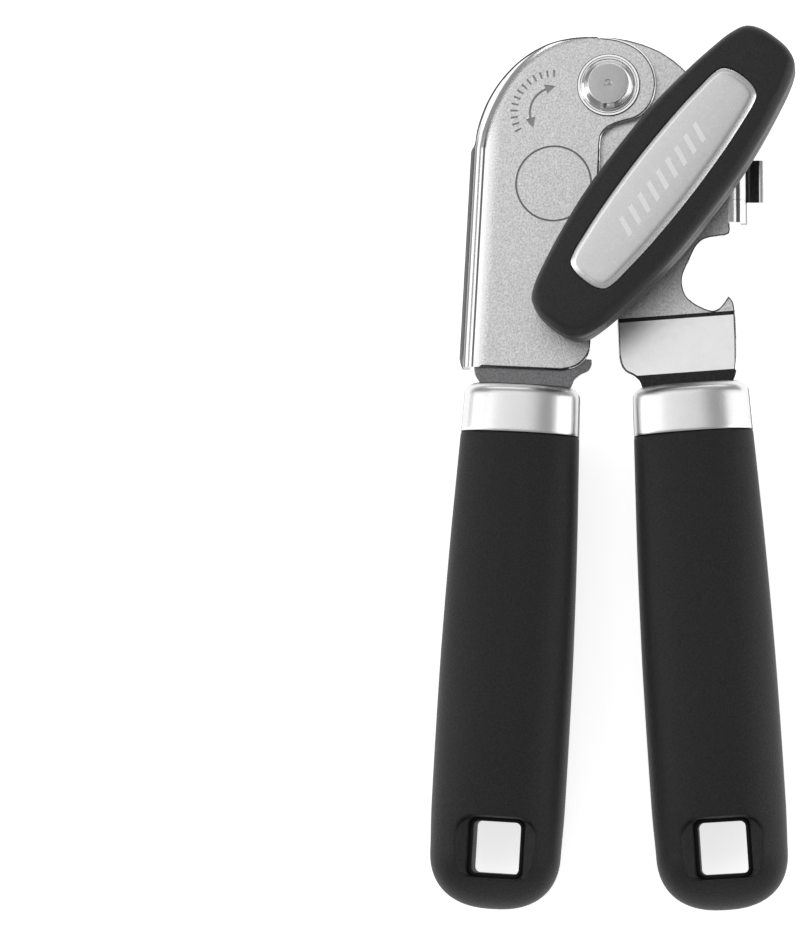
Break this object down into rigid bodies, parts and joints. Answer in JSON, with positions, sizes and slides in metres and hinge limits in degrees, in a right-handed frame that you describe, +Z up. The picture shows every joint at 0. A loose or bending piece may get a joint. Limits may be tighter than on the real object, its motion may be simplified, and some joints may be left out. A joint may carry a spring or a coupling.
{
  "type": "manual can opener",
  "caption": "Hand-held can opener with hinged grip handles, a turning knob, a geared round cutter and feed wheel, and a bottle-opener notch.",
  "frame": {"origin": "centre of the bounding box in X and Y, on the surface the opener lies on", "axes": "+X from the left handle to the right handle, +Y from the handles to the head, +Z up out of the turning knob"},
  "size_m": [0.0831, 0.198, 0.0314],
  "materials": {
    "plate_steel": "satin, fine grainy surface with bright rolled edges",
    "bright_steel": "polished",
    "gear_steel": "machined",
    "blade_steel": "ground",
    "ferrule_satin": "satin",
    "satin_insert": "satin with bright edge",
    "knob_black": "matte, fine grain",
    "grip_black": "matte soft touch, fine grain",
    "core_black": "matte"
  },
  "bodies": {
    "rear_frame": {"rear_plate": "plate_steel", "pivot_rivet": "bright_steel", "pivot_dish_washer": "bright_steel", "pivot_spacer": "gear_steel", "pivot_tail_washer": "bright_steel", "drive_bushing": "gear_steel", "right_core": "core_black", "right_grip": "grip_black", "right_ferrule": "ferrule_satin", "right_tang_pins": "gear_steel"},
    "front_frame": {"front_plate": "plate_steel", "cutter_stud": "bright_steel", "left_core": "core_black", "left_grip": "grip_black", "left_ferrule": "ferrule_satin", "left_tang_pins": "gear_steel"},
    "key": {"drive_shaft": "gear_steel", "drive_thrust_washer": "gear_steel", "drive_gear": "gear_steel", "feed_wheel": "gear_steel", "feed_retainer": "bright_steel", "knob_base": "knob_black", "knob_cover": "knob_black", "knob_insert": "satin_insert", "knob_screws": "gear_steel", "knob_retaining_screw": "gear_steel"},
    "cutter": {"cutter_gear": "gear_steel", "cutter_bush": "gear_steel", "cutter_wheel": "blade_steel"}
  },
  "joints": [
    {"name": "handle_pivot", "type": "hinge", "parent": "rear_frame", "child": "front_frame", "pos_m": [-0.00063, 0.08729, 0.0106], "axis": [0, 0, -1], "range_deg": [-5, 38]},
    {"name": "key_spin", "type": "hinge", "parent": "rear_frame", "child": "key", "pos_m": [0.01217, 0.06259, 0.0106], "axis": [0, 0, 1], "continuous": true},
    {"name": "cutter_spin", "type": "hinge", "parent": "front_frame", "child": "cutter", "pos_m": [-0.0132, 0.06498, 0.0106], "axis": [0, 0, 1], "continuous": true}
  ],
  "couplings": [
    {"joint": "cutter_spin", "follows": "key_spin", "ratio": -0.9375}
  ]
}
